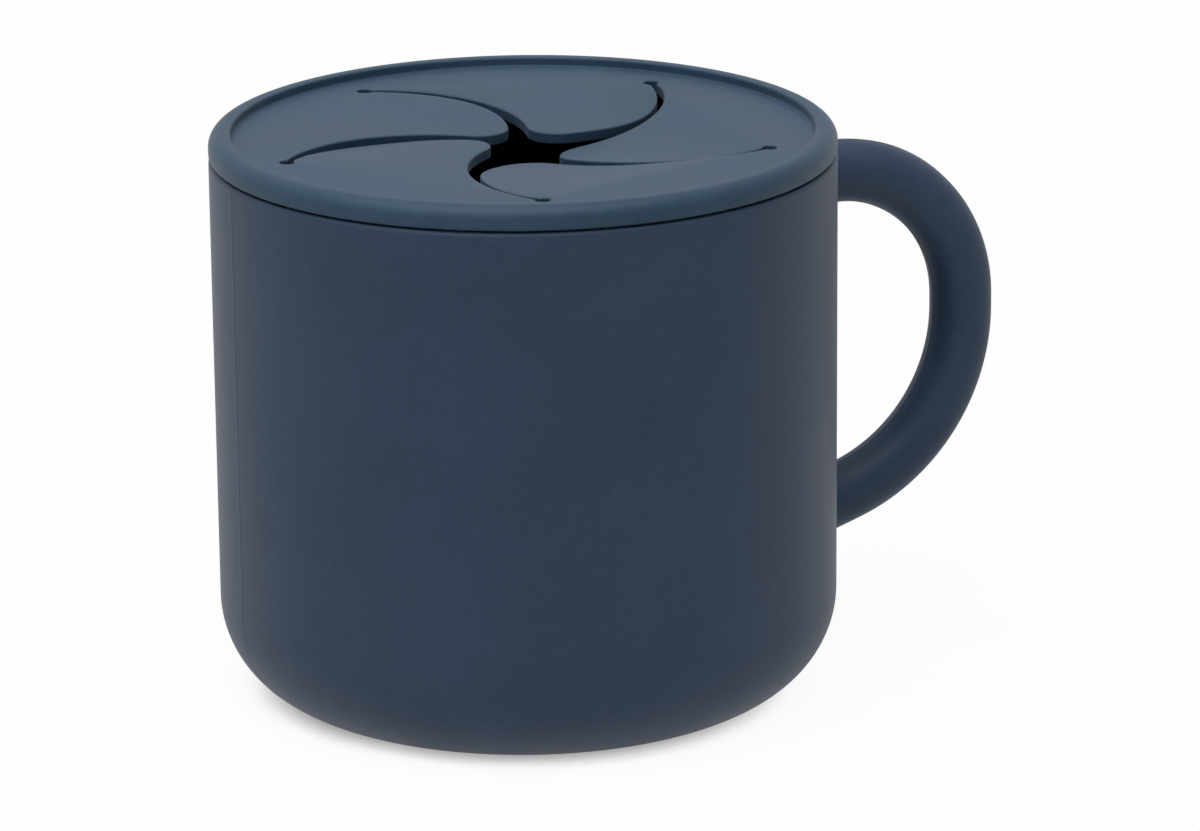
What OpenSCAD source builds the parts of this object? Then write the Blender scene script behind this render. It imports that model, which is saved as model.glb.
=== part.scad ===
// Snack container for toddlers: soft cup with a loop handle and a press-on lid
// with five swirled flaps that a small hand pushes through.
// Origin: middle of the underside of the cup. +Z up, handle towards +X.

/* [Cup] */
// Outer diameter of the cup and of the lid border
cup_d = 90; // [80:0.5:100]
// Height of the cup up to its rim
cup_h = 80; // [70:0.5:95]
// Draft angle of the outside wall: the cup narrows towards its foot
wall_draft = 0.12; // [0:0.02:1]
// Thickness of the cup wall
wall_t = 3; // [2.4:0.1:3.6]
// Thickness of the cup floor
floor_t = 3; // [2:0.1:5]
// Radius of the rounded foot
foot_r = 15; // [8:0.5:20]
// Rounding of the rim edges
rim_round = 0.7; // [0.3:0.1:1]

/* [Handle] */
// Diameter of the round handle tube
tube_d = 9.2; // [7:0.1:11]
// Distance from the cup axis to the tube centre where the loop is widest
loop_reach = 70.7; // [68:0.1:76]
// Height of the tube centre where the handle leaves the wall
loop_top = 71.3; // [66:0.1:72]
// Bend radius of the upper corner of the loop
upper_bend = 21.2; // [16:0.1:22]
// Length of the straight, upright run between the two bends
side_run = 2; // [0.5:0.1:8]
// Bend radius of the lower sweep of the loop
lower_bend = 27.2; // [22:0.1:32]
// Angle through which the lower sweep turns back to the wall
lower_turn = 72.5; // [60:0.5:80]
// How much the tube thickens, in radius, where it meets the wall
root_flare = 0.8; // [0:0.1:2]
// Length over which it thickens
root_len = 5; // [3:0.5:8]

/* [Lid] */
// Height of the lid border above the rim
border_h = 3.65; // [3:0.05:5]
// Width of the raised border
border_w = 3.2; // [2.4:0.1:6]
// Rounding of the outer top edge of the border
border_round = 2; // [1:0.1:2.8]
// Depth of the recessed panel below the border
recess = 1.3; // [0.8:0.1:1.6]
// Thickness of the panel and of its flaps
panel_t = 1.6; // [1.2:0.1:2]
// How far the plug reaches down inside the cup
plug_h = 8; // [5:0.5:12]
// Thickness of the plug wall
plug_t = 1.7; // [1.2:0.1:2.4]
// Gap between the sealing ribs and the cup wall
plug_gap = 0.1; // [0.05:0.05:0.3]
// Cross-section radius of each sealing rib
rib_r = 0.5; // [0.3:0.05:0.7]
// Number of sealing ribs
rib_count = 2; // [1:1:3]

/* [Flaps] */
// Number of flaps
flap_count = 5; // [5:1:5]
// Distance from the wall of the recess to the circle that the relief holes lie on
relief_inset = 5.85; // [5:0.05:9]
// Diameter of the relief hole at the outer end of each slit
relief_d = 2.2; // [1.6:0.1:3]
// Angle from the handle to the first relief hole
hole_angle = 106.3; // [90:0.1:120]
// Distance from the centre of each slit's arc to the circle of the relief holes
arc_inset = 12.75; // [11:0.05:15]
// Width of the slits where they leave their relief holes
slit_w = 0.9; // [0.5:0.1:1.6]
// How much the two sides of a slit have spread a quarter turn further in
slit_spread = 2; // [0:0.1:3]
// Rounding of the flap tips
tip_r = 4.4; // [3:0.1:6]
// How far the bending line lies inside the line between two relief holes
hinge_inset = 2.6; // [2.4:0.1:4]
// Gap between a flap's root and its seat in the panel
hinge_gap = 0.08; // [0.05:0.01:0.1]
// Largest swing of a flap to either side of the panel
swing = 65; // [45:1:70]
// Sag of each flap at rest, in degrees
flap_sag = [2.2, 2.3, 6.8, 7.2, 1.4];

/* [Hidden] */
$fn = 96;
fine = 32;
eps = 0.01;
cup_r = cup_d / 2;
// Outer radius where the round of the foot begins
foot_at = cup_r - (cup_h - foot_r) * tan(wall_draft);
bore_r = cup_r - wall_t;
inner_foot = max(foot_r - wall_t, 1);
tube_r = tube_d / 2;
upper_x = loop_reach - upper_bend;
upper_z = loop_top - upper_bend;
lower_x = loop_reach - lower_bend;
lower_z = upper_z - side_run;
end_x = lower_x + lower_bend * cos(lower_turn);
end_z = lower_z - lower_bend * sin(lower_turn);
// How deep the bar is drawn into the cup before the cup's face trims it
sink = 2.5;
foot_sink = foot_r / 2;
stub_len = (end_x - cup_r) / sin(lower_turn);
bar_sides = 32;
bend_steps = 12;
root_steps = 5;
lid_top = cup_h + border_h;
panel_top = lid_top - recess;
panel_under = panel_top - panel_t;
panel_mid = panel_top - panel_t / 2;
recess_r = cup_r - border_w;
rib_reach = bore_r - plug_gap;
plug_r = rib_reach - rib_r;
plug_in = plug_r - plug_t;
step = 360 / flap_count;
half = step / 2;
hole_r = recess_r - relief_inset;
hinge_at = hole_r * cos(half) - hinge_inset;
// Each slit follows an arc through its relief hole. Its two sides are arcs of their own, moved
// apart along the line from the arc's centre to the hole, so that the slit spreads inwards
arc_centre = hole_r - arc_inset;
to_hole = hole_r * [cos(half), -sin(half)] - [arc_centre, 0];
arc_r = norm(to_hole);
apart_by = slit_spread / 2 * to_hole / arc_r;
edge_out = arc_r - (slit_w + slit_spread) / 2;
edge_in = arc_r + (slit_w + slit_spread) / 2;
own = [arc_centre, 0] + apart_by;
own_wide = [arc_centre, 0] - apart_by;
// The same two centres for the slit on the flap's other side
next_own = turned(own, step);
neighbour = turned(own_wide, step);
// Centre of the tip's round: it touches the flap's own round edge from inside
// and the neighbour's arc from outside
own_d = edge_out - tip_r;
other_d = edge_in + tip_r;
apart = norm(neighbour - own);
along = (own_d * own_d - other_d * other_d + apart * apart) / (2 * apart);
aside = sqrt(own_d * own_d - along * along);
unit = (neighbour - own) / apart;
tip = own + along * unit + aside * [-unit[1], unit[0]];
touch_own = own + (tip - own) * edge_out / own_d;
touch_other = neighbour + (tip - neighbour) * edge_in / other_d;
// How far past the tip's round its corner is cleared away, in radii of the tip
corner_reach = 6;
nose_r = panel_t / 2;
seat_r = nose_r + hinge_gap;

silicone = [0.23, 0.30, 0.40];
lid_tone = [0.26, 0.35, 0.43];

// ---- helpers -------------------------------------------------------------

function turned(p, a) = [p[0] * cos(a) - p[1] * sin(a), p[0] * sin(a) + p[1] * cos(a)];

// Spandrel left between a square corner and the round of radius r inside it;
// the corner points along (sx, sy)
module spandrel(x, y, r, sx, sy) {
    translate([x, y])
        difference() {
            translate([sx > 0 ? -r : -eps, sy > 0 ? -r : -eps])
                square(r + eps);
            translate([-sx * r, -sy * r])
                circle(r);
        }
}

// Solid swept along a path in the XZ plane; each stop is [x, z, heading, radius]
module sweep(stops, sides) {
    rings = len(stops);
    points = [for (s = stops, j = [0 : sides - 1])
        let (a = 360 * j / sides, side = s[3] * cos(a))
            [s[0] - side * sin(s[2]), s[3] * sin(a), s[1] + side * cos(s[2])]];
    walls = [for (i = [0 : rings - 2], j = [0 : sides - 1])
        let (k = (j + 1) % sides)
            [i * sides + j, i * sides + k, (i + 1) * sides + k, (i + 1) * sides + j]];
    first = [for (j = [0 : sides - 1]) sides - 1 - j];
    last = [for (j = [0 : sides - 1]) (rings - 1) * sides + j];
    polyhedron(points, concat([first], walls, [last]), convexity = 4);
}

// ---- cup -----------------------------------------------------------------

module cup_outline() {
    difference() {
        polygon([[0, 0], [foot_at, 0], [foot_at, foot_r], [cup_r, cup_h], [0, cup_h]]);
        spandrel(foot_at, 0, foot_r, 1, -1);
        spandrel(cup_r, cup_h, rim_round, 1, 1);
    }
}

module cup_shell() {
    color(silicone)
        rotate_extrude()
            difference() {
                cup_outline();
                difference() {
                    translate([0, floor_t])
                        square([bore_r, cup_h]);
                    spandrel(bore_r, floor_t, inner_foot, 1, -1);
                }
                // rounded inner edge of the rim
                translate([bore_r, cup_h])
                    mirror([1, 0])
                        spandrel(0, 0, rim_round, 1, 1);
            }
}

// Tube radius at a distance from the wall: the root flares out into the wall
function bar_r(from_wall) =
    tube_r + root_flare * pow(max(0, 1 - from_wall / root_len), 2);

// Stops of a straight run that crosses the wall's face after wall_at, from stop number first on;
// outward is 1 for a run that leaves the wall and -1 for one that enters it
function straight_stops(x, z, heading, len, wall_at, outward, first, count) = [for (i = [first : count])
    let (t = len * i / count)
        [x + t * cos(heading), z + t * sin(heading), heading, bar_r(max(0, outward * (t - wall_at)))]];

// Stops of a bend about (x, z), turning clockwise from angle a0 to a1, from stop number first on
function bend_stops(x, z, r, a0, a1, first) = [for (i = [first : bend_steps])
    let (a = a0 + (a1 - a0) * i / bend_steps)
        [x + r * cos(a), z + r * sin(a), a - 90, tube_r]];

module handle() {
    stops = concat(
        straight_stops(cup_r - sink, loop_top, 0, upper_x - cup_r + sink, sink, 1, 0, root_steps),
        bend_stops(upper_x, upper_z, upper_bend, 90, 0, 1),
        bend_stops(lower_x, lower_z, lower_bend, 0, -lower_turn, 0),
        straight_stops(end_x, end_z, -lower_turn - 90, stub_len + foot_sink, stub_len, -1, 1,
                       2 * root_steps));
    color(silicone)
        difference() {
            sweep(stops, bar_sides);
            rotate_extrude()
                cup_outline();
        }
}

// ---- lid -----------------------------------------------------------------

module lid_profile() {
    difference() {
        union() {
            // border that sits on the rim
            translate([plug_in, cup_h])
                square([cup_r - plug_in, border_h]);
            // panel
            translate([0, panel_under])
                square([plug_in + eps, panel_t]);
            // plug inside the cup
            translate([plug_in, cup_h - plug_h])
                square([plug_t, plug_h + eps]);
            for (i = [1 : rib_count])
                translate([plug_r, cup_h - plug_h * i / (rib_count + 1)])
                    circle(rib_r, $fn = fine);
        }
        // recess over the panel
        difference() {
            translate([-eps, panel_top])
                square([recess_r + eps, recess + eps]);
            spandrel(recess_r, panel_top, recess / 2, 1, -1);
        }
        spandrel(cup_r, lid_top, border_round, 1, 1);
        spandrel(cup_r, cup_h, rim_round, 1, -1);
        // lead-in at the foot of the plug
        spandrel(plug_r, cup_h - plug_h, plug_t / 2, 1, -1);
    }
}

// Half of the plane on the axis side of a flap's bending line, moved out by more
module inside_hinge(more = 0) {
    translate([-cup_d, -cup_d])
        square([cup_d + hinge_at + more, 2 * cup_d]);
}

// Area of one flap and the slit along its round edge, up to the slit on its other side
module flap_window() {
    difference() {
        intersection() {
            translate(own_wide)
                circle(edge_in);
            inside_hinge();
        }
        translate(next_own)
            circle(edge_out);
    }
}

// Rest of the slit, from the bending line out to its relief hole
module slit_end() {
    intersection() {
        difference() {
            translate(own_wide)
                circle(edge_in);
            translate(own)
                circle(edge_out);
        }
        translate([0, -cup_d])
            square([hinge_at + hinge_inset, cup_d]);
    }
}

// Seat of one flap's root: a round groove, opened towards both faces so that
// the flap can swing
module hinge_seat() {
    reach = 2 * panel_t;
    lean = 90 - swing;
    face = seat_r * [cos(lean), sin(lean)];
    top = face + reach * [-sin(lean), cos(lean)];
    intersection() {
        translate([hinge_at, cup_r, panel_mid])
            rotate([90, 0, 0])
                linear_extrude(cup_d) {
                    circle(seat_r);
                    polygon([[0, 0], face, top, [-reach, top[1]],
                             [-reach, -top[1]], [top[0], -top[1]], [face[0], -face[1]]]);
                }
        translate([0, 0, panel_under - panel_t])
            linear_extrude(3 * panel_t)
                difference() {
                    translate(own_wide)
                        circle(edge_in);
                    translate(next_own)
                        circle(edge_out);
                }
    }
}

module relief_holes() {
    for (a = [-half, half])
        rotate([0, 0, a])
            translate([hole_r, 0, panel_under - panel_t])
                cylinder(d = relief_d, h = 3 * panel_t, $fn = fine);
}

module lid_frame() {
    color(lid_tone)
        difference() {
            rotate_extrude()
                lid_profile();
            // the middle, which no flap's window reaches
            translate([0, 0, panel_under - panel_t])
                cylinder(r = arc_centre / 2, h = 3 * panel_t);
            for (k = [1 : flap_count])
                rotate([0, 0, flap_turn(k)]) {
                    translate([0, 0, panel_under - panel_t])
                        linear_extrude(3 * panel_t) {
                            flap_window();
                            slit_end();
                        }
                    hinge_seat();
                    relief_holes();
                }
        }
}

// ---- flaps ---------------------------------------------------------------

function flap_turn(k) = hole_angle + half - (k - 1) * step;

// Outline of one flap about +X, reaching past its bending line by more
module flap_outline(more) {
    difference() {
        intersection() {
            translate(own)
                circle(edge_out);
            inside_hinge(more);
        }
        translate(neighbour)
            circle(edge_in);
        // the pointed corner between the two arcs becomes the rounded tip
        difference() {
            polygon([tip, tip + corner_reach * (touch_own - tip), tip + corner_reach * (touch_other - tip)]);
            translate(tip)
                circle(tip_r);
        }
    }
}

module flap(k) {
    rotate([0, 0, flap_turn(k)])
        translate([hinge_at, 0, panel_mid])
            rotate([0, -flap_sag[k - 1], 0])
                translate([-hinge_at, 0, -panel_t / 2])
                    difference() {
                        union() {
                            linear_extrude(panel_t)
                                flap_outline(0);
                            intersection() {
                                linear_extrude(panel_t)
                                    flap_outline(panel_t);
                                translate([hinge_at, cup_r, panel_t / 2])
                                    rotate([90, 0, 0])
                                        cylinder(r = nose_r, h = cup_d);
                            }
                        }
                        translate([0, 0, -panel_under])
                            relief_holes();
                    }
}

module flap_1() {
    color(lid_tone) flap(1);
}

module flap_2() {
    color(lid_tone) flap(2);
}

module flap_3() {
    color(lid_tone) flap(3);
}

module flap_4() {
    color(lid_tone) flap(4);
}

module flap_5() {
    color(lid_tone) flap(5);
}

cup_shell();
handle();
lid_frame();
flap_1();
flap_2();
flap_3();
flap_4();
flap_5();
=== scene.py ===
import math
import bmesh
import bpy
import numpy as np
from mathutils import Matrix, Vector


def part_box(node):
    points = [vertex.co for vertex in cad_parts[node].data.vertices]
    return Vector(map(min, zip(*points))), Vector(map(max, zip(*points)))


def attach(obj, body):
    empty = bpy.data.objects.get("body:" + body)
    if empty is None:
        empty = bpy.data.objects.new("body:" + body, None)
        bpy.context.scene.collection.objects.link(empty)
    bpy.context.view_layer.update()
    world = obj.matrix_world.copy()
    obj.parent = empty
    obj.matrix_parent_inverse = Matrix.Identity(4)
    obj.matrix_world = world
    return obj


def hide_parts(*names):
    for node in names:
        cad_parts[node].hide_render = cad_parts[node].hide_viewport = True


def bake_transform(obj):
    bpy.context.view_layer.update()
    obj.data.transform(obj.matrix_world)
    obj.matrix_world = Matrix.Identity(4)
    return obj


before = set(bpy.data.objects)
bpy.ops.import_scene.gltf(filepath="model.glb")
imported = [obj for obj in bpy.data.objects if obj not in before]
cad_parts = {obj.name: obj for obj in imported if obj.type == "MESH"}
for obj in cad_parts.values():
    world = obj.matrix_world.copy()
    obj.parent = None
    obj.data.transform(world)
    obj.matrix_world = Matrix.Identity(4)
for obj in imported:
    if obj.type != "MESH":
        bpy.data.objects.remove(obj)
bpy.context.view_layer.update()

mm = 0.001
scene = bpy.context.scene


# Node graphs: Python's operators on a signal add Math nodes to its tree
class Signal:
    def __init__(self, graph, socket):
        self.graph = graph
        self.socket = socket

    def math(self, operation, *values):
        node = self.graph.tree.nodes.new("ShaderNodeMath")
        node.operation = operation
        for place, value in zip(node.inputs, values):
            self.graph.feed(place, value)
        return Signal(self.graph, node.outputs[0])

    def __add__(self, other):
        return self.math("ADD", self, other)

    def __sub__(self, other):
        return self.math("SUBTRACT", self, other)

    def __mul__(self, other):
        return self.math("MULTIPLY", self, other)

    def __truediv__(self, other):
        return self.math("DIVIDE", self, other)

    def __pow__(self, other):
        return self.math("POWER", self, other)

    def __rsub__(self, other):
        return self.math("SUBTRACT", other, self)

    def __rtruediv__(self, other):
        return self.math("DIVIDE", other, self)

    __radd__ = __add__
    __rmul__ = __mul__

    def clamp(self):
        held = self.math("ADD", self, 0.0)
        held.socket.node.use_clamp = True
        return held


class Graph:
    def __init__(self, tree):
        self.tree = tree

    def feed(self, place, value):
        if isinstance(value, Signal):
            self.tree.links.new(value.socket, place)
        else:
            place.default_value = value

    # Settings come first, then the values or links of the sockets; outputs come back by name
    def add(self, kind, settings=None, inputs=None):
        node = self.tree.nodes.new(kind)
        for name, value in (settings or {}).items():
            setattr(node, name, value)
        for name, value in (inputs or {}).items():
            self.feed(node.inputs[name], value)
        return {out.name: Signal(self, out) for out in node.outputs if out.enabled}

    # A mix of two colours, each a fixed colour or a signal
    def blendColours(self, factor, first, second):
        mixed = self.add("ShaderNodeMix", {"data_type": "RGBA"}, {"Factor": factor})["Result"]
        for place, colour in ((6, first), (7, second)):
            self.feed(mixed.socket.node.inputs[place], colour)
        return Signal(self, mixed.socket.node.outputs[2])

    # A mix of two shaders by their outputs
    def blendShaders(self, factor, first, second):
        mixed = self.add("ShaderNodeMixShader", None, {"Fac": factor})["Shader"]
        for place, shader in ((1, first), (2, second)):
            self.feed(mixed.socket.node.inputs[place], shader)
        return mixed


# Meshes are worked out in millimetres and stored in metres
mergeDistance = 0.002
roundSharp, flatSharp = 60, 50  # degrees past which an edge is shaded sharp


def makePiece(name, points, faces, material, sharpDegrees):
    mesh = bpy.data.meshes.new(name)
    mesh.from_pydata([tuple(v * mm for v in p) for p in points], [], faces)
    work = bmesh.new()
    work.from_mesh(mesh)
    bmesh.ops.remove_doubles(work, verts=work.verts, dist=mergeDistance * mm)
    bmesh.ops.recalc_face_normals(work, faces=work.faces)
    work.to_mesh(mesh)
    work.free()
    mesh.shade_smooth()
    mesh.set_sharp_from_angle(angle=math.radians(sharpDegrees))
    piece = bpy.data.objects.new(name, mesh)
    scene.collection.objects.link(piece)
    mesh.materials.append(material)
    return piece


def arc(centreR, centreZ, radius, fromDeg, toDeg, count):
    turns = np.radians(np.linspace(fromDeg, toDeg, count + 1))
    return [(centreR + radius * math.cos(a), centreZ + radius * math.sin(a)) for a in turns]


def straight(start, end, count):
    first, run = np.array(start), np.array(end) - np.array(start)
    return [tuple(first + run * i / count) for i in range(count + 1)]


# Quads between neighbouring loops of one length
def bridge(loops, size, closed=True):
    faces = []
    for i in range(loops - 1):
        for j in range(size if closed else size - 1):
            k = (j + 1) % size
            a = i * size
            faces.append((a + j, a + k, a + size + k, a + size + j))
    return faces


def turned(points, degrees):
    a = math.radians(degrees)
    c, s = math.cos(a), math.sin(a)
    p = np.asarray(points, float)
    return np.column_stack([p[:, 0] * c - p[:, 1] * s, p[:, 0] * s + p[:, 1] * c])


# Silicone: deep and pale tones in soft clouds, fine lint and a moulded grain
def srgb(red, green, blue):
    def linear(v):
        v = v / 255
        return v / 12.92 if v < 0.04045 else ((v + 0.055) / 1.055) ** 2.4
    return (linear(red), linear(green), linear(blue), 1.0)


silicone = {
    "cup": {"deep": srgb(37, 54, 76), "pale": srgb(44, 61, 83)},
    "lid": {"deep": srgb(36, 61, 81), "pale": srgb(45, 69, 90)},
    "lint": srgb(125, 135, 146),
    "detail": {"mottle": 5.0, "dust": 1.0, "lint": 1.0, "grain": 2.0},
    "mottleSize": 22 * mm,      # soft clouds of tone
    "mottleFrom": 0.35,
    "mottleContrast": 3.0,
    "dustSize": 1.3 * mm,       # finer unevenness on top of the clouds
    "dustShare": 0.4,
    "lintSize": 0.8 * mm,       # sparse pale flecks
    "lintShare": 0.725,
    "lintContrast": 12.0,
    "lintStrength": 0.1,
    "grainSize": 0.35 * mm,     # moulded grain
    "grainHeight": 0.006 * mm,
    "grainStrength": 0.35,
    "roughness": 0.55,
    "mottleRoughness": 0.16,
    "lintRoughness": 0.2,
    "refraction": 1.41,
    "shine": 0.35,
    "sheen": 0.06,
    "sheenRoughness": 0.45,
}


def makeSilicone(name, look, tone):
    material = bpy.data.materials.new(name)
    material.use_nodes = True
    graph = Graph(material.node_tree)
    skin = material.node_tree.nodes["Principled BSDF"]
    place = graph.add("ShaderNodeTexCoord")["Object"]

    def noise(kind):
        return graph.add("ShaderNodeTexNoise", None,
                         {"Vector": place, "Scale": 1 / look[kind + "Size"],
                          "Detail": look["detail"][kind]})["Fac"]

    mottle, dust, flecks, grain = noise("mottle"), noise("dust"), noise("lint"), noise("grain")
    cloud = mottle - look["mottleFrom"] + (dust - 0.5) * look["dustShare"]
    lint = ((flecks - look["lintShare"]) * look["lintContrast"]).clamp()
    body = graph.blendColours((cloud * look["mottleContrast"]).clamp(), tone["deep"], tone["pale"])
    dusty = graph.blendColours(lint * look["lintStrength"], body, look["lint"])
    uneven = (mottle - 0.5) * look["mottleRoughness"] + lint * look["lintRoughness"]
    bump = graph.add("ShaderNodeBump", None,
                     {"Height": grain, "Strength": look["grainStrength"],
                      "Distance": look["grainHeight"]})["Normal"]
    graph.feed(skin.inputs["Base Color"], dusty)
    graph.feed(skin.inputs["Roughness"], look["roughness"] + uneven)
    graph.feed(skin.inputs["Normal"], bump)
    skin.inputs["IOR"].default_value = look["refraction"]
    skin.inputs["Specular IOR Level"].default_value = look["shine"]
    skin.inputs["Sheen Weight"].default_value = look["sheen"]
    skin.inputs["Sheen Roughness"].default_value = look["sheenRoughness"]
    return material


cupSkin = makeSilicone("cupSilicone", silicone, silicone["cup"])
lidSkin = makeSilicone("lidSilicone", silicone, silicone["lid"])
print("materials made")


# Cup: wall, rounded foot, floor and rim, turned about the axis
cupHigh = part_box("cup_shell")[1]
cup = {
    "radius": cupHigh.x / mm,
    "height": cupHigh.z / mm,
    "wall": 3.0,
    "floor": 3.0,
    "foot": 15.0,         # rounding between base and wall
    "draft": 0.12,        # degrees
    "rimOuter": 0.7,
    "rimInner": 0.7,
    "sides": 288,
    "middle": 4.0,        # radius of the fan that closes the base and the floor
    "seamHeight": 0.05,   # parting line of the mould
    "seamWidth": 0.22,
    "seamTurns": 4,       # close turns on each side of the line, and their step in its widths
    "seamStep": 0.5,
    "seamStop": 4,        # loops below the rim's top where the line ends
    "cuts": {"base": 6, "foot": 28, "wall": 18, "rim": 8, "inside": 12, "innerFoot": 20,
             "floor": 5},
}


# Even turns with a few close ones about the mould's two parting lines
def seamedTurns(size, radius):
    even = np.linspace(0, 2 * math.pi, size["sides"], endpoint=False)
    count, step = size["seamTurns"], size["seamStep"]
    close = [k * size["seamWidth"] * step / radius for k in range(-count, count + 1)]
    extra = [(line + c) % (2 * math.pi) for line in (0, math.pi) for c in close]
    return np.unique(np.round(np.concatenate([even, extra]), 9))


# Angle of each turn from the nearer of the two parting lines
def fromSeam(turns):
    past = np.abs(turns - math.pi)
    return np.minimum(past, math.pi - past)


def seamLift(offset, size):
    return size["seamHeight"] * np.exp(-(offset / size["seamWidth"]) ** 2)


def makeCup(size):
    radius, height, bore = size["radius"], size["height"], size["radius"] - size["wall"]
    foot, innerFoot, floor = size["foot"], size["foot"] - size["wall"], size["floor"]
    rimOuter, rimInner, cuts = size["rimOuter"], size["rimInner"], size["cuts"]
    footAt = radius - (height - foot) * math.tan(math.radians(size["draft"]))
    outer = [(0.0, 0.0)] + straight((size["middle"], 0), (footAt - foot, 0), cuts["base"])
    outer += arc(footAt - foot, foot, foot, -90, 0, cuts["foot"])[1:]
    outer += straight((footAt, foot), (radius, height - rimOuter), cuts["wall"])[1:]
    outer += arc(radius - rimOuter, height - rimOuter, rimOuter, 0, 90, cuts["rim"])[1:]
    outerCount = len(outer)
    inner = arc(bore + rimInner, height - rimInner, rimInner, 90, 180, cuts["rim"])
    inner += straight((bore, height - rimInner), (bore, floor + innerFoot), cuts["inside"])[1:]
    inner += arc(bore - innerFoot, floor + innerFoot, innerFoot, 0, -90, cuts["innerFoot"])[1:]
    inner += straight((bore - innerFoot, floor), (size["middle"], floor), cuts["floor"])[1:]
    inner += [(0.0, floor)]
    turns = seamedTurns(size, radius)
    offset = fromSeam(turns) * radius
    points, profile = [], outer + inner
    for i, (r, z) in enumerate(profile):
        seamed = i < outerCount - size["seamStop"] and r > radius - foot
        lift = seamLift(offset, size) if seamed else 0 * offset
        for a, more in zip(turns, lift):
            points.append(((r + more) * math.cos(a), (r + more) * math.sin(a), z))
    return makePiece("cupBody", points, bridge(len(profile), len(turns)), cupSkin, roundSharp)


cupBody = makeCup(cup)
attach(cupBody, "cup")
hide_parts("cup_shell")
print("cup made")


# Handle: a round bar on two bends, led into the wall by a small fillet at each root
handle = {
    "barRadius": 4.6,
    "reach": 70.7,        # centre line's furthest and highest points
    "top": 71.3,
    "upperBend": 21.2,
    "sideRun": 2.0,
    "lowerBend": 27.2,
    "lowerTurn": 72.5,    # degrees
    "fillet": 1.5,
    "standOff": 3.2,      # from the wall to the first stop
    "slack": 0.3,         # kept between the last stop and the fillet
    "sunk": 0.03,         # how far the fillet's foot goes into the wall
    "capDepth": 1.5,
    "carry": 40.0,        # furthest that a side of the bar is carried on to meet the wall
    "carryShare": 0.6,    # share of the distance left that each step takes
    "touch": 1e-4,        # distance that counts as on the wall
    "sides": 72,
    "stops": {"top": 4, "upper": 41, "lower": 45, "end": 5, "root": 7},
    "seamHeight": 0.06,
    "seamWidth": 0.25,
    "seamTurns": 3,
    "seamStep": 0.6,
}


# Stops of the centre line as (x, z, heading in degrees), from the upper root to the lower one
def handleStops(size):
    upper, lower = size["upperBend"], size["lowerBend"]
    upperX, upperZ = size["reach"] - upper, size["top"] - upper
    lowerX, lowerZ = size["reach"] - lower, upperZ - size["sideRun"]
    count = size["stops"]
    starts = np.linspace(cup["radius"] + size["standOff"], upperX, count["top"])[:-1]
    stops = [(x, size["top"], 0.0) for x in starts]
    for a in np.linspace(90, 0, count["upper"]):
        turn = math.radians(a)
        stops.append((upperX + upper * math.cos(turn), upperZ + upper * math.sin(turn), a - 90))
    for a in np.linspace(0, -size["lowerTurn"], count["lower"]):
        turn = math.radians(a)
        stops.append((lowerX + lower * math.cos(turn), lowerZ + lower * math.sin(turn), a - 90))
    x, z, heading = stops[-1]
    turn, ahead = math.radians(size["lowerTurn"]), math.radians(heading)
    # the bar stops short of the wall by its slant and the fillet
    slant = size["barRadius"] / math.tan(turn)
    run = (x - cup["radius"]) / math.sin(turn) - slant - size["fillet"] - size["slack"]
    for t in np.linspace(0, run, count["end"])[1:]:
        stops.append((x + t * math.cos(ahead), z + t * math.sin(ahead), heading))
    return stops


# Distance of a point from the outside of the cup; the foot is part of a ring
def cupDistance(p):
    r, slope = math.hypot(p[0], p[1]), math.tan(math.radians(cup["draft"]))
    wall = cup["radius"] - (cup["height"] - max(p[2], cup["foot"])) * slope
    if p[2] >= cup["foot"]:
        return r - wall
    return math.hypot(r - wall + cup["foot"], p[2] - cup["foot"]) - cup["foot"]


# The point of the cup's outside nearest to p, sunk by depth
def onCup(p, depth):
    p, step = np.array(p, float), 1e-3
    for _ in range(4):
        here = cupDistance(p) + depth
        rises = [cupDistance(p + step * axis) - cupDistance(p) for axis in np.eye(3)]
        slope = np.array(rises) / step
        p = p - slope / np.linalg.norm(slope) * here
    return p


# Rings that lead the bar into the wall: each side of the bar leaves its own line on a curve
def rootRings(loop, away, forward, size):
    landed = []
    for p, side in zip(loop, away):
        far, hit = 0.0, np.array(p, float)
        while cupDistance(hit) > size["touch"] and far < size["carry"]:
            far += cupDistance(hit) * size["carryShare"]
            hit = np.array(p) + forward * far
        foot = onCup(hit + side * size["fillet"], size["sunk"])
        landed.append((hit - forward * size["fillet"], hit, foot))
    return [[(1 - t) ** 2 * a + 2 * t * (1 - t) * b + t * t * c for a, b, c in landed]
            for t in np.linspace(0, 1, size["stops"]["root"])]


def makeHandle(size):
    turns = seamedTurns(size, size["barRadius"])
    radii = size["barRadius"] + seamLift(fromSeam(turns) * size["barRadius"], size)
    rings, sides, headings = [], [], []
    for x, z, heading in handleStops(size):
        a = math.radians(heading)
        out = np.array([-math.sin(a), 0, math.cos(a)])
        away = [math.cos(t) * out + math.sin(t) * np.array([0, 1.0, 0]) for t in turns]
        rings.append([np.array([x, 0, z]) + r * w for r, w in zip(radii, away)])
        sides.append(away)
        headings.append(np.array([math.cos(a), 0, math.sin(a)]))
    upper = rootRings(rings[0], sides[0], -headings[0], size)[::-1]
    lower = rootRings(rings[-1], sides[-1], headings[-1], size)
    loops = upper + rings + lower
    points = [tuple(p) for loop in loops for p in loop]
    faces = bridge(len(loops), len(turns))
    # the ends are closed inside the wall
    for ends, loop in ((0, loops[0]), (len(loops) - 1, loops[-1])):
        middle = np.mean(loop, axis=0) + np.array([-size["capDepth"], 0, 0])
        points.append(tuple(middle))
        first, count, tip = ends * len(turns), len(turns), len(points) - 1
        faces += [(first + j, first + (j + 1) % count, tip) for j in range(count)]
    return makePiece("handleLoop", points, faces, cupSkin, roundSharp)


handleLoop = makeHandle(handle)
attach(handleLoop, "cup")
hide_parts("handle")
print("handle made")


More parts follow.
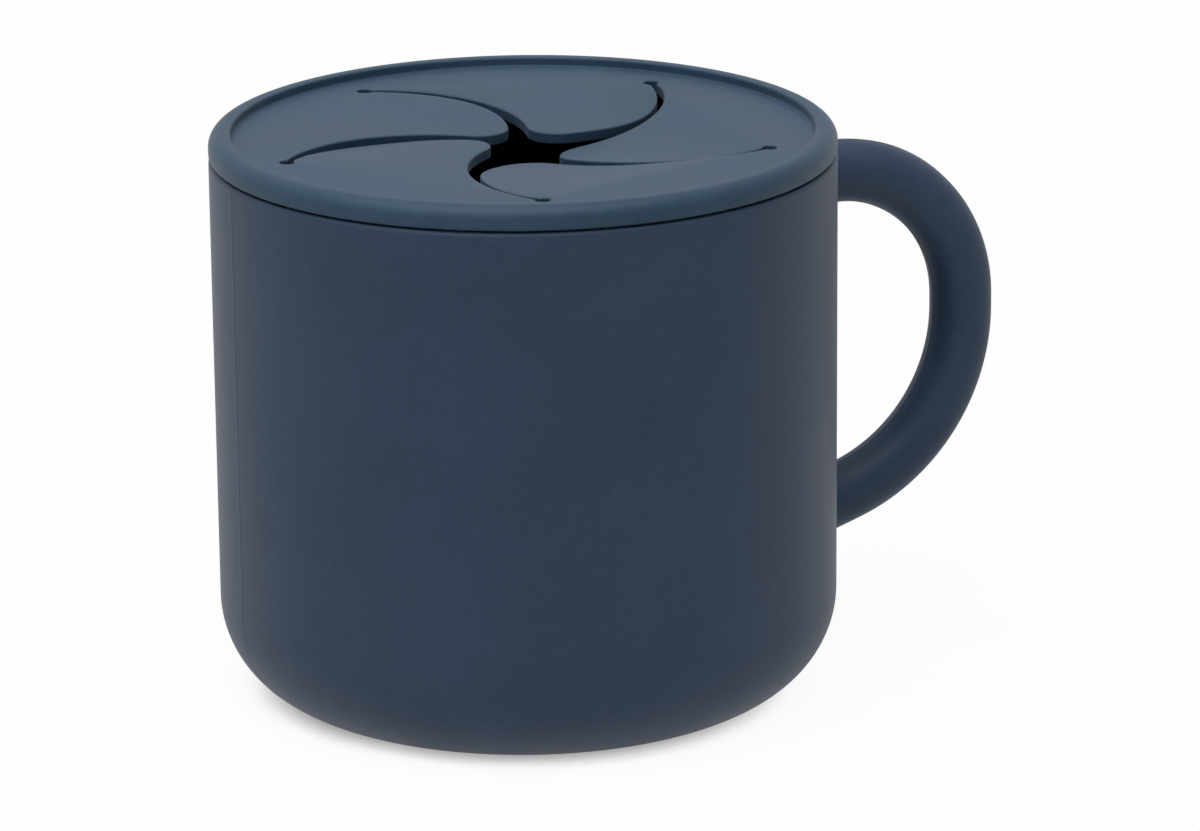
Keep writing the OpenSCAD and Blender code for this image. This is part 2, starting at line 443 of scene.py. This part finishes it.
# Lid: values that the border, the panel and the flaps share
lidLow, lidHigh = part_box("lid_frame")
lid = {
    "radius": cup["radius"],
    "top": lidHigh.z / mm,
    "recessRadius": cup["radius"] - 3.2,
    "recess": 1.3,
    "borderRound": 2.0,    # outer edge of the border
    "crestRound": 0.35,    # inner edge of the border
    "recessFillet": 0.2,
    "lowerRound": 0.6,     # the border's edge over the seam
    "seatGap": 0.2,
    "panel": 1.6,
    "plugBottom": lidLow.z / mm,
    "plugRadius": 41.4,
    "plugWall": 1.7,
    "neckRound": 0.4,      # where the plug meets the seat
    "plugRound": 0.8,
    "boreRound": 0.4,
    "ceilingRound": 0.5,   # where the plug meets the underside of the panel
    "holeCircle": 35.95,   # relief holes at the outer ends of the slits
    "holeRadius": 1.1,
    "firstHole": 106.3,    # degrees
    "flaps": 5,
    "arcCentre": 23.2,
    "slit": 0.9,           # slit's width at its hole, and how much it spreads
    "spread": 2.0,
    "tipRound": 4.4,
    "edgeRound": 0.2,
    "edgeLoops": 7,
    "edgeHold": 0.06,      # keeps the edge's shading close to it
}
lid["panelTop"] = lid["top"] - lid["recess"]
lid["panelUnder"] = lid["panelTop"] - lid["panel"]
flapStep = 360 / lid["flaps"]
chord = lid["holeCircle"] * math.cos(math.radians(flapStep / 2))
halfChord = lid["holeCircle"] * math.sin(math.radians(flapStep / 2))
slitRadius = math.hypot(chord - lid["arcCentre"], halfChord)
slitStart = np.array([chord - lid["arcCentre"], -halfChord]) / slitRadius
# Distances from an edge at which its rounding is drawn
edgeSteps = lid["edgeRound"] * (1 - np.cos(np.radians(np.linspace(0, 90, lid["edgeLoops"]))))


# Height of a rounded edge at a distance from it, below the flat face
def edgeDrop(distance, radius):
    near = np.clip(radius - np.asarray(distance, float), 0, radius)
    return radius - np.sqrt(np.maximum(radius ** 2 - near ** 2, 0))


def circleMeet(centreA, radiusA, centreB, radiusB, side):
    a, b = np.array(centreA, float), np.array(centreB, float)
    apart = np.linalg.norm(b - a)
    along = (radiusA ** 2 - radiusB ** 2 + apart ** 2) / (2 * apart)
    aside = math.sqrt(radiusA ** 2 - along ** 2)
    unit = (b - a) / apart
    return a + along * unit + side * aside * np.array([-unit[1], unit[0]])


# Angles of an arc about a centre, the short way from one point to another
def sweepAngles(centre, start, end, count):
    a0 = math.atan2(start[1] - centre[1], start[0] - centre[0])
    a1 = math.atan2(end[1] - centre[1], end[0] - centre[0])
    return np.linspace(a0, a0 + (a1 - a0 + math.pi) % (2 * math.pi) - math.pi, count)


def sweepArc(centre, radius, start, end, count):
    angles = sweepAngles(centre, start, end, count + 1)
    return [np.array(centre) + radius * np.array([math.cos(a), math.sin(a)]) for a in angles]


# The slits about a flap that points along +X. Each is narrow at its relief hole and spreads towards
# the tips, so its two sides are arcs of their own
slitMiddle = np.array([lid["arcCentre"], 0.0])
slitSpread = (lid["slit"] + lid["spread"]) / 2
roundCentre = slitMiddle + slitStart * lid["spread"] / 2
roundRadius = slitRadius - slitSpread
hollowCentre = turned([slitMiddle - slitStart * lid["spread"] / 2], flapStep)[0]
hollowRadius = slitRadius + slitSpread
holeHere, holeNext = np.array([chord, -halfChord]), np.array([chord, halfChord])


# Rows run from a flap's root to its tip and columns from side to side
flapMesh = {
    "rows": 46,
    "columns": 36,
    "length": 33.0,
    "arcSteps": 120,
    "tipSteps": 40,
    "holeSteps": 10,
    "slitSteps": 20,
}


# The flap's outline: round edge, hollow edge and tip. Its root is the chord between two relief
# holes, as far as the point where the next slit crosses it
def flapEdges():
    tipRound = lid["tipRound"]
    inner, outer = roundRadius - tipRound, hollowRadius + tipRound
    tip = circleMeet(roundCentre, inner, hollowCentre, outer, 1)
    touchRound = roundCentre + (tip - roundCentre) * roundRadius / inner
    touchHollow = hollowCentre + (tip - hollowCentre) * hollowRadius / outer
    hole = lid["holeRadius"]
    crossings = [circleMeet(roundCentre, roundRadius, holeHere, hole, s) for s in (-1, 1)]
    meet = min(crossings, key=lambda p: p[0])
    rootStart = holeHere + np.array([0, hole])
    rise = math.sqrt(hollowRadius ** 2 - (chord - hollowCentre[0]) ** 2)
    rootEnd = np.array([chord, hollowCentre[1] - rise])
    steps = flapMesh["arcSteps"]
    roundEdge = sweepArc(holeHere, hole, rootStart, meet, flapMesh["holeSteps"])
    roundEdge += sweepArc(roundCentre, roundRadius, meet, touchRound, steps)[1:]
    hollowEdge = sweepArc(hollowCentre, hollowRadius, rootEnd, touchHollow, steps)
    tipEdge = sweepArc(tip, tipRound, touchRound, touchHollow, flapMesh["tipSteps"])
    return np.array(roundEdge), np.array(hollowEdge), np.array(tipEdge)


# Where the far side of the next slit meets its relief hole, both moved away from the edge by step
def slitMeetsHole(step):
    slit, hole = hollowRadius + step, lid["holeRadius"] + step
    crossings = [circleMeet(hollowCentre, slit, holeNext, hole, s) for s in (-1, 1)]
    return min(crossings, key=lambda p: p[1])


def resample(line, shares):
    length = np.concatenate([[0], np.cumsum(np.linalg.norm(np.diff(line, axis=0), axis=1))])
    at = np.asarray(shares) * length[-1]
    return np.column_stack([np.interp(at, length, line[:, 0]), np.interp(at, length, line[:, 1])])


def distanceTo(points, line):
    a, b = line[:-1], line[1:]
    d = b - a
    t = np.clip(((points[:, None] - a) * d).sum(2) / ((d * d).sum(1) + 1e-12), 0, 1)
    return np.sqrt(((points[:, None] - a - d * t[..., None]) ** 2).sum(2)).min(1)


# Shares from 0 to 1 of a line, close together near an end that has a rounded edge
def crowded(count, length, atStart, atEnd):
    close = edgeSteps / length
    start = close if atStart else close[:1]
    end = 1 - close[::-1] if atEnd else 1 - close[:1]
    return np.concatenate([start, np.linspace(start[-1], end[0], count)[1:-1], end])


# Walls down from the loop of a top face to the same loop of the face under it
def wallRows(points, faces, upper, lower):
    loops = [upper]
    for edge, shift in ((upper, -lid["edgeHold"]), (lower, lid["edgeHold"])):
        loops.append([len(points) + i for i in range(len(edge))])
        points += [(points[i][0], points[i][1], points[i][2] + shift) for i in edge]
    loops.append(lower)
    for high, low in zip(loops, loops[1:]):
        for i in range(len(high)):
            j = (i + 1) % len(high)
            faces.append((high[i], high[j], low[j], low[i]))


# Points of one flat flap about +X, row by row, and how far its rounded edge drops there
def flapSheet():
    roundEdge, hollowEdge, tipEdge = flapEdges()
    rows = crowded(flapMesh["rows"], flapMesh["length"], False, True)
    left, right = resample(roundEdge, rows), resample(hollowEdge, rows)
    widths = np.linalg.norm(right - left, axis=1)
    columns = np.array([crowded(flapMesh["columns"], width, True, True) for width in widths])
    root = np.array([resample(np.array([roundEdge[0], hollowEdge[0]]), c) for c in columns])
    tip = np.array([resample(tipEdge, c) for c in columns])
    s, t = rows[:, None, None], columns[:, :, None]
    corners = (1 - s) * (1 - t) * roundEdge[0] + (1 - s) * t * hollowEdge[0] \
        + s * (1 - t) * tipEdge[0] + s * t * tipEdge[-1]
    sheet = (1 - t) * left[:, None] + t * right[:, None] + (1 - s) * root + s * tip - corners
    slitEnd = sweepArc(hollowCentre, hollowRadius, slitMeetsHole(0), hollowEdge[0],
                       flapMesh["slitSteps"])
    outline = np.vstack([roundEdge, tipEdge[1:], hollowEdge[::-1][1:], slitEnd[::-1][1:]])
    drop = edgeDrop(distanceTo(sheet.reshape(-1, 2), outline), lid["edgeRound"])
    return sheet, drop.reshape(sheet.shape[:2])


# One flat flap as a slab with rounded edges
def makeFlapSlab(name):
    sheet, drop = flapSheet()
    high, wide = drop.shape
    flat = list(zip(sheet.reshape(-1, 2), drop.ravel()))
    points = [(x, y, lid["panelTop"] - d) for (x, y), d in flat]
    points += [(x, y, lid["panelUnder"] + d) for (x, y), d in flat]
    faces = bridge(high, wide, closed=False)
    faces += [tuple(i + high * wide for i in f[::-1]) for f in faces]
    rim = [i * wide for i in range(high)]
    rim += [(high - 1) * wide + j for j in range(1, wide)]
    rim += [i * wide + wide - 1 for i in range(high - 2, -1, -1)] + list(range(wide - 2, 0, -1))
    wallRows(points, faces, rim, [i + high * wide for i in rim])
    return makePiece(name, points, faces, lidSkin, flatSharp)


# A geometry tree with its named inputs, and the inputs as signals
def startTree(name, sizes):
    tree = bpy.data.node_groups.new(name, "GeometryNodeTree")
    kinds = {"Geometry": "NodeSocketGeometry", "Skin": "NodeSocketMaterial",
             "Count": "NodeSocketInt"}
    for socket in ["Geometry"] + sizes + ["Skin"]:
        kind = kinds.get(socket, "NodeSocketFloat")
        tree.interface.new_socket(socket, in_out="INPUT", socket_type=kind)
    tree.interface.new_socket("Geometry", in_out="OUTPUT", socket_type="NodeSocketGeometry")
    graph = Graph(tree)
    return graph, graph.add("NodeGroupInput")


# The end of a tree: real geometry with its skin
def endTree(graph, shape, skin):
    whole = graph.add("GeometryNodeRealizeInstances", None, {"Geometry": shape})
    skinned = graph.add("GeometryNodeSetMaterial", None,
                        {"Geometry": whole["Geometry"], "Material": skin})
    graph.add("NodeGroupOutput", None, {"Geometry": skinned["Geometry"]})
    return graph.tree


# The rule that sets a flap: it sags from its root towards its tip, tilts and hollows a little, and
# is turned to its place
def makeFlapTree():
    graph, given = startTree("setFlap", ["Turn", "Root", "Ease", "Sag", "Curve", "Tilt", "Hollow"])
    place = graph.add("GeometryNodeInputPosition")["Position"]
    xyz = graph.add("ShaderNodeSeparateXYZ", None, {"Vector": place})
    reach = ((given["Root"] - xyz["X"]) / given["Root"]).clamp()
    side = xyz["Y"] / given["Root"]
    start = reach / (reach + given["Ease"])
    fall = start * (given["Sag"] * reach ** given["Curve"] + given["Tilt"] * side * reach
                    + given["Hollow"] * side * side * reach)
    shift = graph.add("ShaderNodeCombineXYZ", None, {"Z": 0 - fall})["Vector"]
    moved = graph.add("GeometryNodeSetPosition", None,
                      {"Geometry": given["Geometry"], "Offset": shift})
    turn = graph.add("ShaderNodeCombineXYZ", None, {"Z": given["Turn"]})["Vector"]
    laid = graph.add("GeometryNodeTransform", None,
                     {"Geometry": moved["Geometry"], "Rotation": turn})
    return endTree(graph, laid["Geometry"], given["Skin"])


def setInputs(modifier, values):
    for item in modifier.node_group.interface.items_tree:
        if item.in_out == "INPUT" and item.name in values:
            modifier[item.identifier] = values[item.name]


# What a Geometry Nodes tree makes of a piece, as a plain mesh
def baked(source, tree, values, name):
    modifier = source.modifiers.new("rule", "NODES")
    modifier.node_group = tree
    setInputs(modifier, values)
    made = source.evaluated_get(bpy.context.evaluated_depsgraph_get())
    mesh = bpy.data.meshes.new_from_object(made)
    mesh.name = name
    source.modifiers.remove(modifier)
    piece = bpy.data.objects.new(name, mesh)
    scene.collection.objects.link(piece)
    return piece


# How each flap hangs at rest, in millimetres at its tip
flapRest = {
    "flap_1": {"Sag": 1.28, "Tilt": 0.45, "Hollow": -1.74},
    "flap_2": {"Sag": 1.43, "Tilt": 2.44, "Hollow": 6.96},
    "flap_3": {"Sag": 4.03, "Tilt": 2.70, "Hollow": -1.97},
    "flap_4": {"Sag": 4.13, "Tilt": 0.58, "Hollow": -6.96},
    "flap_5": {"Sag": 0.79, "Tilt": 0.75, "Hollow": 5.22},
}
# The sag starts at the hinge and grows towards the tip; ease and curve shape it
bend = {"before": 2.2, "after": 4.5, "ease": 0.3, "curve": 0.6}


def makeFlaps():
    slab = makeFlapSlab("flapSlab")
    tree = makeFlapTree()
    for number, (node, rest) in enumerate(flapRest.items()):
        turn = lid["firstHole"] + flapStep / 2 - number * flapStep
        values = {"Turn": math.radians(turn), "Root": chord * mm, "Ease": bend["ease"],
                  "Curve": bend["curve"], "Skin": lidSkin}
        values.update({name: value * mm for name, value in rest.items()})
        flap = baked(slab, tree, values, node.replace("_", "") + "Petal")
        flap.data.shade_smooth()
        flap.data.set_sharp_from_angle(angle=math.radians(flatSharp))
        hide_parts(node)
        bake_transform(flap)
    bpy.data.objects.remove(slab)


makeFlaps()
print("flaps made")


# Lid ring: border, recess, fixed part of the panel, and plug
ring = {
    "panelEdge": 38.4,
    "perHole": 28,
    "perSlit": 14,
    "holeShare": 4.5,    # half the degrees that the loops spend round a hole
    "seamEnd": 27.0,
    "overLoops": (0.04, 0.15, 0.35, 0.6, 0.8),
    "underLoops": (0.7, 0.35, 0.04),
    "runGap": 0.1,       # the plug's straight runs start this far past a rounding
    "cuts": {"fillet": 6, "crest": 6, "border": 18, "low": 5, "neck": 4, "outside": 6, "tip": 5,
             "bore": 4, "inside": 5, "ceiling": 4},
}


# The lid's section as (radius, height): from the panel outwards, over the border and down round
# the plug
def lidSection(size):
    top, base, plug = lid["top"], cup["height"] + lid["seatGap"], lid["plugRadius"]
    bore, bottom, under = plug - lid["plugWall"], lid["plugBottom"], lid["panelUnder"]
    fillet, crest = lid["recessFillet"], lid["crestRound"]
    rounding, low = lid["borderRound"], lid["lowerRound"]
    neck, tip = lid["neckRound"], lid["plugRound"]
    inner, ceiling = lid["boreRound"], lid["ceilingRound"]
    recess, panel, gap, cuts = lid["recessRadius"], lid["panelTop"], size["runGap"], size["cuts"]
    section = [(size["panelEdge"], panel)]
    section += arc(recess - fillet, panel + fillet, fillet, -90, 0, cuts["fillet"])
    section += arc(recess + crest, top - crest, crest, 180, 90, cuts["crest"])
    section += arc(lid["radius"] - rounding, top - rounding, rounding, 90, 0, cuts["border"])
    section += arc(lid["radius"] - low, base + low, low, 0, -90, cuts["low"])
    section += arc(plug + neck, base - neck, neck, 90, 180, cuts["neck"])
    section += straight((plug, base - neck - gap), (plug, bottom + tip), cuts["outside"])
    section += arc(plug - tip, bottom + tip, tip, 0, -90, cuts["tip"])
    section += arc(bore + inner, bottom + inner, inner, -90, -180, cuts["bore"])
    section += straight((bore, bottom + inner + gap), (bore, under - ceiling - gap), cuts["inside"])
    section += arc(bore - ceiling, under - ceiling, ceiling, 0, 90, cuts["ceiling"])
    return section + [(size["panelEdge"], under)]


# The edge of the fixed panel in one fifth of the lid, about +X and moved outwards by step: round
# the far side of a relief hole, along the flap's root, and out along the next slit to its hole
def panelEdge(size, step, root):
    first = turned([slitMeetsHole(step)], -flapStep)[0] - holeHere
    start = math.atan2(first[1], first[0])
    around = np.linspace(start, start + (math.pi / 2 - start) % (2 * math.pi), size["perHole"])
    out = sweepAngles(hollowCentre, root[-1], slitMeetsHole(step), size["perSlit"])[:-1]
    holeRays = np.column_stack([np.cos(around), np.sin(around)])
    slitRays = np.column_stack([np.cos(out), np.sin(out)])
    holeArc = holeHere + (lid["holeRadius"] + step) * holeRays
    slitArc = hollowCentre + (hollowRadius + step) * slitRays
    return np.vstack([holeArc, root[len(edgeSteps):], slitArc])


def makeLidRing(size):
    sheet, rootDrop = flapSheet()
    root, rootDrop = sheet[0], rootDrop[0][len(edgeSteps):]
    share, seamEnd = size["holeShare"], size["seamEnd"]
    angles = np.degrees(np.arctan2(root[len(edgeSteps):, 1], chord))
    near, far = -flapStep / 2 + share, flapStep / 2 - share
    around = np.linspace(near - 2 * share, near, size["perHole"], endpoint=False)
    along = near + (angles - angles[0]) / (angles[-1] - angles[0]) * (seamEnd - near)
    onward = np.linspace(seamEnd, far, size["perSlit"] + 1)[1:-1]
    fifth = np.concatenate([around, along, onward])
    turns = [lid["firstHole"] + (k + 0.5) * flapStep for k in range(lid["flaps"])]
    rays = np.radians(np.concatenate([turn + fifth for turn in turns]))
    ray = np.column_stack([np.cos(rays), np.sin(rays)])
    count = len(rays)
    points, rows = [], []

    def addRow(flat, heights):
        rows.append([len(points) + i for i in range(count)])
        points.extend([(x, y, z) for (x, y), z in zip(flat, heights)])

    steps = []
    for step, drop in zip(edgeSteps, edgeDrop(edgeSteps, lid["edgeRound"])):
        loop = panelEdge(size, step, root)
        drops = np.concatenate([[drop] * size["perHole"], rootDrop, [drop] * (size["perSlit"] - 1)])
        whole = np.vstack([turned(loop, turn) for turn in turns])
        steps.append((whole, np.tile(drops, lid["flaps"])))
    start, end = steps[-1][0], ray * size["panelEdge"]
    for loop, drops in steps:
        addRow(loop, lid["panelTop"] - drops)
    for part in size["overLoops"]:
        addRow(start + (end - start) * part, [lid["panelTop"]] * count)
    for r, z in lidSection(size):
        addRow(ray * r, [z] * count)
    for part in size["underLoops"]:
        addRow(start + (end - start) * part, [lid["panelUnder"]] * count)
    for loop, drops in steps[::-1]:
        addRow(loop, lid["panelUnder"] + drops)
    faces = bridge(len(rows), count)
    wallRows(points, faces, rows[0], rows[-1])
    return makePiece("lidRing", points, faces, lidSkin, flatSharp)


lidRing = makeLidRing(ring)
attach(lidRing, "lid")
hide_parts("lid_frame")


# Sealing ribs round the plug: one hoop, repeated down a line
sealRibs = {
    "count": 2,
    "radius": lid["plugRadius"],
    "thick": 0.5,
    "pitch": 8.0 / 3,
    "sides": 200,
    "barSides": 16,
}


def makeRibTree(size):
    graph, given = startTree("ribStack", ["Count", "Ring Radius", "Rib Radius", "Pitch", "Top"])

    def circle(sides, radius):
        return graph.add("GeometryNodeCurvePrimitiveCircle", None,
                         {"Resolution": sides, "Radius": radius})["Curve"]

    path = circle(size["sides"], given["Ring Radius"])
    bar = circle(size["barSides"], given["Rib Radius"])
    hoop = graph.add("GeometryNodeCurveToMesh", None, {"Curve": path, "Profile Curve": bar})
    smooth = graph.add("GeometryNodeSetShadeSmooth", None, {"Geometry": hoop["Mesh"]})
    first = graph.add("ShaderNodeCombineXYZ", None, {"Z": given["Top"]})["Vector"]
    drop = graph.add("ShaderNodeCombineXYZ", None, {"Z": 0 - given["Pitch"]})["Vector"]
    line = graph.add("GeometryNodeMeshLine", None,
                     {"Count": given["Count"], "Start Location": first, "Offset": drop})
    laid = graph.add("GeometryNodeInstanceOnPoints", None,
                     {"Points": line["Mesh"], "Instance": smooth["Geometry"]})
    return endTree(graph, laid["Instances"], given["Skin"])


def makeRibs(size):
    seed = bpy.data.objects.new("ribSeed", bpy.data.meshes.new("ribSeed"))
    scene.collection.objects.link(seed)
    values = {"Count": size["count"], "Ring Radius": size["radius"] * mm,
              "Rib Radius": size["thick"] * mm, "Pitch": size["pitch"] * mm,
              "Top": (cup["height"] - size["pitch"]) * mm, "Skin": lidSkin}
    ribs = baked(seed, makeRibTree(size), values, "plugRibs")
    bpy.data.objects.remove(seed)
    return ribs


plugRibs = makeRibs(sealRibs)
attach(plugRibs, "lid")
print("lid made")


# Floor, camera and light
floorLook = {
    "size": 12.0,
    "drop": 0.05 * mm,
    "colour": (0.93, 0.93, 0.93, 1.0),
    "roughness": 0.9,
    "whiteness": 0.95,                 # share of plain white in what is seen of the floor
    "contactReach": 60 * mm,
    "contactLevel": 0.3,
    "contactRise": 3.0,
    "contactLean": (1.1, -0.35, 1.0),
    "contactAside": (-14.8, 24.5, 0.0),
    "contactPull": 0.45,               # how much deeper the shade is on that side
    "contactSamples": 16,
}


# The floor is white but for a painted shadow: a soft shade where the foot stands on it, worked out
# from occlusion and made deeper on one side by position
def contactShade(graph, look):
    clearance = graph.add("ShaderNodeAmbientOcclusion", {"samples": look["contactSamples"]},
                          {"Distance": look["contactReach"], "Normal": look["contactLean"]})["AO"]
    place = graph.add("ShaderNodeTexCoord")["Object"]
    aside = graph.add("ShaderNodeVectorMath", {"operation": "DOT_PRODUCT"},
                      {"Vector": place})["Value"]
    aside.socket.node.inputs[1].default_value = look["contactAside"]
    # painted shade: darker where the cup hems the floor in, and deeper still towards one side
    level = clearance * look["contactRise"] + look["contactLevel"]
    return (level - aside.clamp() * look["contactPull"]).clamp()


def makeFloor(look):
    half, low = look["size"] / 2, -look["drop"]
    corners = [(-half, -half, low), (half, -half, low), (half, half, low), (-half, half, low)]
    mesh = bpy.data.meshes.new("floor")
    mesh.from_pydata(corners, [], [(0, 1, 2, 3)])
    floor = bpy.data.objects.new("floor", mesh)
    scene.collection.objects.link(floor)
    material = bpy.data.materials.new("paleFloor")
    material.use_nodes = True
    graph = Graph(material.node_tree)
    matte = material.node_tree.nodes["Principled BSDF"]
    matte.inputs["Base Color"].default_value = look["colour"]
    matte.inputs["Roughness"].default_value = look["roughness"]
    matte.inputs["Specular IOR Level"].default_value = 0.0
    path = graph.add("ShaderNodeLightPath")
    seen = (path["Is Camera Ray"] + path["Is Glossy Ray"] + path["Is Transmission Ray"]).clamp()
    shade = contactShade(graph, look)
    # where the floor is seen it glows white, with the painted shadow in that glow
    glow = graph.add("ShaderNodeEmission", None, {"Color": shade, "Strength": 1.0})["Emission"]
    paper = graph.blendShaders(seen * look["whiteness"], Signal(graph, matte.outputs[0]), glow)
    # seen from below, the floor is clear and shows the foot
    clear = graph.add("ShaderNodeBsdfTransparent")["BSDF"]
    under = graph.add("ShaderNodeNewGeometry")["Backfacing"]
    surface = graph.blendShaders(under, paper, clear)
    graph.feed(material.node_tree.nodes["Material Output"].inputs["Surface"], surface)
    mesh.materials.append(material)


makeFloor(floorLook)

# The camera looks down past the handle's left; angles in degrees, lengths in millimetres
viewpoint = {
    "distance": 976.2,
    "height": 40.0,
    "down": 16.752,
    "pan": 0.652,
    "nudge": -0.023,
    "roll": 0.538,
    "lens": 202.3,
    "sensor": 36.0,
    "handleTurn": 23.9,
    "clip": (0.05, 30.0),  # metres
}


def makeCamera(look):
    down, pan, roll = (math.radians(look[name]) for name in ("down", "pan", "roll"))
    tilt = down + math.radians(look["nudge"])
    spin = Matrix.Rotation(-math.radians(look["handleTurn"]), 3, "Z")
    away, up = look["distance"] * math.cos(down), look["distance"] * math.sin(down)
    spot = Vector((0, -away, up + look["height"]))
    flat = math.cos(tilt)
    ahead = Vector((math.sin(pan) * flat, math.cos(pan) * flat, -math.sin(tilt)))
    level = Vector((math.cos(pan), -math.sin(pan), 0))
    below = ahead.cross(level)
    right = math.cos(roll) * level + math.sin(roll) * below
    lower = math.cos(roll) * below - math.sin(roll) * level
    basis = spin @ Matrix((right, -lower, -ahead)).transposed()
    data = bpy.data.cameras.new("camera")
    data.lens = look["lens"]
    data.sensor_width = look["sensor"]
    data.clip_start, data.clip_end = look["clip"]
    camera = bpy.data.objects.new("camera", data)
    scene.collection.objects.link(camera)
    camera.matrix_world = Matrix.Translation(spin @ spot * mm) @ basis.to_4x4()
    scene.camera = camera


makeCamera(viewpoint)

# One broad soft lamp above the front left, and a white room that shows in what is glossy
lamps = {
    "overhead": {"at": (-0.34, -0.28, 1.45), "aim": (0, 0, 0.05), "size": 1.6, "watts": 29.8},
    "ambient": 0.02,
    "gloss": 0.93,
}


def makeLamp(name, look):
    data = bpy.data.lights.new(name, "AREA")
    data.shape = "SQUARE"
    data.size = look["size"]
    data.energy = look["watts"]
    lamp = bpy.data.objects.new(name, data)
    scene.collection.objects.link(lamp)
    lamp.location = look["at"]
    lamp.rotation_euler = (Vector(look["aim"]) - lamp.location).to_track_quat("-Z", "Y").to_euler()


def makeWorld(ambient, gloss):
    world = bpy.data.worlds.new("studio")
    world.use_nodes = True
    graph = Graph(world.node_tree)
    back = world.node_tree.nodes["Background"]
    back.inputs["Color"].default_value = (1, 1, 1, 1)
    path = graph.add("ShaderNodeLightPath")
    shine = (path["Is Glossy Ray"] + path["Is Transmission Ray"]).clamp() * (gloss - ambient)
    graph.feed(back.inputs["Strength"], path["Is Camera Ray"] * (1 - ambient) + shine + ambient)
    scene.world = world


makeLamp("overhead", lamps["overhead"])
makeWorld(lamps["ambient"], lamps["gloss"])
scene.view_settings.view_transform = "Standard"
print("stage made")
